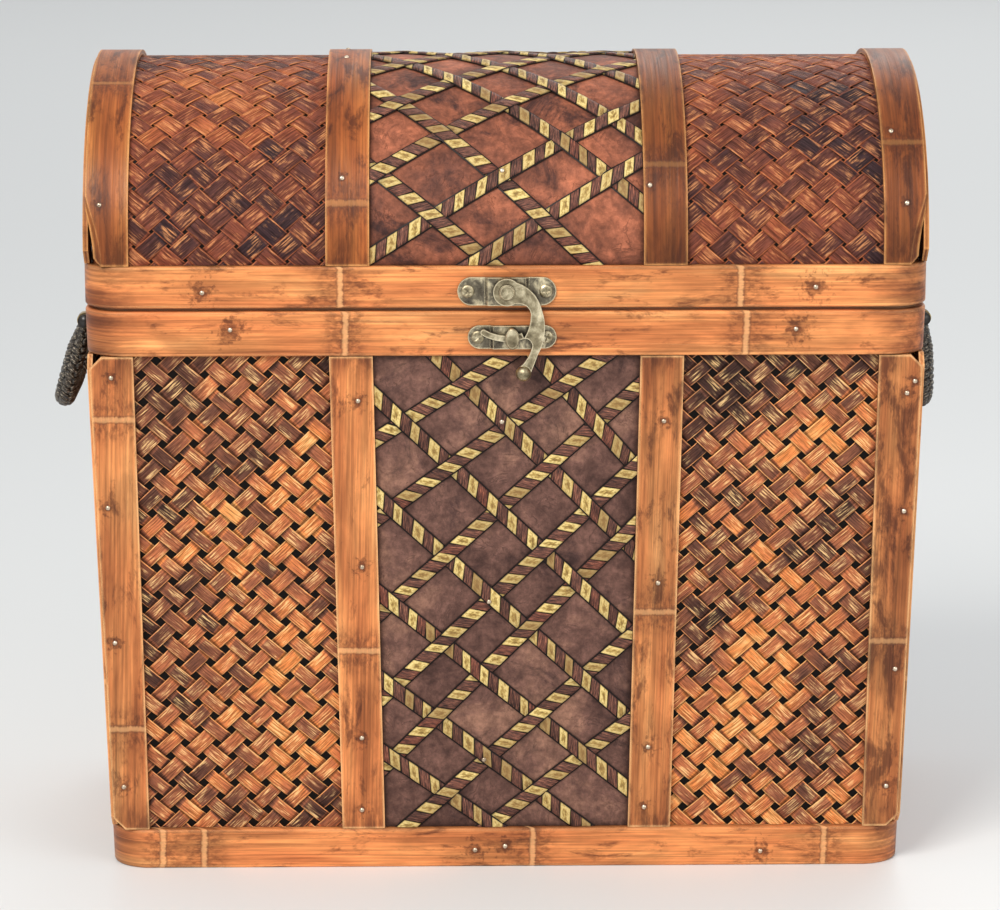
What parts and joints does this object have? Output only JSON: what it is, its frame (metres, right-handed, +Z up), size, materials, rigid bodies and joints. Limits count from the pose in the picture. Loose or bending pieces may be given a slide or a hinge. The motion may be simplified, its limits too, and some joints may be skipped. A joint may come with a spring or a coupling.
{
  "type": "rattan trunk",
  "caption": "Chest with tapering woven rattan sides and a domed lid, bound with bamboo straps and bands, with braid lattice panels, a swing hook latch, back hinges and end handles.",
  "frame": {"origin": "centre of the flat underside that the trunk stands on", "axes": "+Z up; the front with the latch faces -Y; +X to the right of someone facing the front, along the trunk's length"},
  "size_m": [0.3876, 0.1963, 0.3475],
  "materials": {
    "carcass_wood": "plain thin boards, waxed",
    "bamboo_band": "varnished bamboo, orange brown",
    "bamboo_strap": "varnished bamboo with darker scorched patches",
    "body_weave": "varnished woven rattan strips",
    "lid_weave": "varnished woven rattan strips, dark",
    "dark_panel": "dark grained sheet, satin",
    "braid": "flat braid of split cane, gold and brown",
    "latch_brass": "old brass, worn bright at the edges",
    "hinge_brass": "old brass",
    "clip_brass": "old brass",
    "handle_leather": "dark braided leather, satin"
  },
  "bodies": {
    "trunk": {"corner_posts": "carcass_wood", "front_board": "carcass_wood", "back_board": "carcass_wood", "left_board": "carcass_wood", "right_board": "carcass_wood", "bottom_board": "carcass_wood", "base_band": "bamboo_band", "body_rim_band": "bamboo_band", "front_strap_left": "bamboo_strap", "front_strap_middle_left": "bamboo_strap", "front_strap_middle_right": "bamboo_strap", "front_strap_right": "bamboo_strap", "back_strap_left": "bamboo_strap", "back_strap_middle_left": "bamboo_strap", "back_strap_middle_right": "bamboo_strap", "back_strap_right": "bamboo_strap", "left_end_straps": "bamboo_strap", "right_end_straps": "bamboo_strap", "left_mat": "body_weave", "right_mat": "body_weave", "back_mat": "body_weave", "front_panel": "dark_panel", "front_lattice": "braid", "catch_plate": "latch_brass", "catch_screws": "latch_brass", "catch_stud": "latch_brass", "hinge_body_leaves": "hinge_brass", "hinge_body_screws": "hinge_brass", "hinge_pins": "hinge_brass", "left_handle_clips": "clip_brass", "left_handle_screws": "clip_brass", "right_handle_clips": "clip_brass", "right_handle_screws": "clip_brass"},
    "lid": {"dome_board": "carcass_wood", "lid_left_end": "carcass_wood", "lid_right_end": "carcass_wood", "lid_rim_band": "bamboo_band", "lid_left_mat": "lid_weave", "lid_right_mat": "lid_weave", "lid_panel": "dark_panel", "lid_left_end_mat": "lid_weave", "lid_right_end_mat": "lid_weave", "lid_strap_left": "bamboo_strap", "lid_strap_middle_left": "bamboo_strap", "lid_strap_middle_right": "bamboo_strap", "lid_strap_right": "bamboo_strap", "lid_left_end_hoop": "bamboo_strap", "lid_right_end_hoop": "bamboo_strap", "lid_lattice": "braid", "hook_plate": "latch_brass", "hook_screws": "latch_brass", "hook_rivet": "latch_brass", "hinge_lid_leaves": "hinge_brass", "hinge_lid_screws": "hinge_brass"},
    "hook": {"hook": "latch_brass"},
    "left_handle": {"left_handle": "handle_leather"},
    "right_handle": {"right_handle": "handle_leather"}
  },
  "joints": [
    {"name": "lid_hinge", "type": "hinge", "parent": "trunk", "child": "lid", "pos_m": [0, 0.0946, 0.2478], "axis": [-1, 0, 0], "range_deg": [0, 105]},
    {"name": "hook_swing", "type": "hinge", "parent": "lid", "child": "hook", "pos_m": [0, -0.09465, 0.2558], "axis": [0, -1, 0], "range_deg": [0, 120]},
    {"name": "left_handle_swing", "type": "hinge", "parent": "trunk", "child": "left_handle", "pos_m": [-0.18183, 0, 0.23596], "axis": [0, 1, 0], "range_deg": [-13, 133]},
    {"name": "right_handle_swing", "type": "hinge", "parent": "trunk", "child": "right_handle", "pos_m": [0.18183, 0, 0.23596], "axis": [0, -1, 0], "range_deg": [0, 146]}
  ]
}
